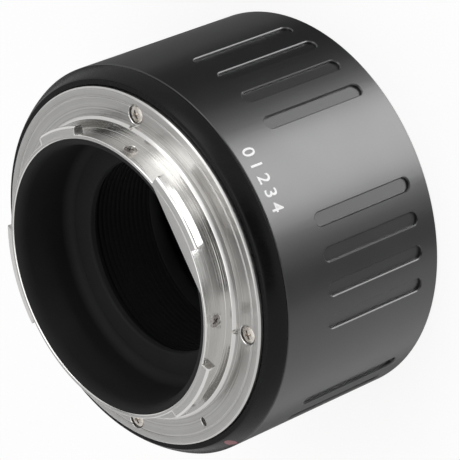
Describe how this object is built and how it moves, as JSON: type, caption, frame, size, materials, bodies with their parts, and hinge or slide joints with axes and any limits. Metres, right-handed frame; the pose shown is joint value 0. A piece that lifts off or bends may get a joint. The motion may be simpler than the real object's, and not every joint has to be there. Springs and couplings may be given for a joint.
{
  "type": "cinema lens rear mount tube",
  "caption": "Rear mount tube of an anamorphic cinema lens: chromed camera bayonet, black shoulder, baffled bore and a slotted grip sleeve that turns to lock the lens.",
  "frame": {"origin": "centre of the lens-side end, the face that the tube stands on", "axes": "+Z along the optical axis towards the camera bayonet; +X lies 2.4 degrees from the flange screw nearest the front"},
  "size_m": [0.0675, 0.0674, 0.0433],
  "materials": {
    "chromed_brass": "polished collar, fine-turned flange",
    "bright_steel_screws": "bright",
    "shim_brass": "rolled",
    "black_anodised_shoulder": "smooth black anodised",
    "black_anodised_sleeve": "satin black anodised",
    "black_anodised_inner": "matt black anodised",
    "red_dot": "satin",
    "matt_black_lining": "matt",
    "ground_steel": "ground",
    "white_glide_plastic": "smooth",
    "bronze_washer": "turned",
    "grey_felt": "felt",
    "blackened_steel": "blackened"
  },
  "bodies": {
    "mount_body": {"bayonet_mount": "chromed_brass", "flange_screws": "bright_steel_screws", "flange_shim": "shim_brass", "shoulder_ring": "black_anodised_shoulder", "index_dot": "red_dot", "inner_tube": "black_anodised_inner", "throat_baffle": "matt_black_lining", "throat_screws": "bright_steel_screws", "stop_baffle": "matt_black_lining", "ribbed_liner": "matt_black_lining", "liner_retaining_ring": "black_anodised_inner", "lens_seat_ring": "ground_steel", "seat_screws": "bright_steel_screws", "locating_pin": "ground_steel", "lower_glide_ring": "white_glide_plastic", "upper_glide_ring": "white_glide_plastic", "thrust_washers": "bronze_washer", "dust_seal": "grey_felt", "stop_screw": "blackened_steel"},
    "locking_sleeve": {"grip_sleeve": "black_anodised_sleeve", "lug_ring": "ground_steel", "lug_ring_lock_screws": "blackened_steel"}
  },
  "joints": [
    {"name": "sleeve_turn", "type": "hinge", "parent": "mount_body", "child": "locking_sleeve", "pos_m": [0, 0, 0.017], "axis": [0, 0, 1], "range_deg": [-45, 0]}
  ]
}
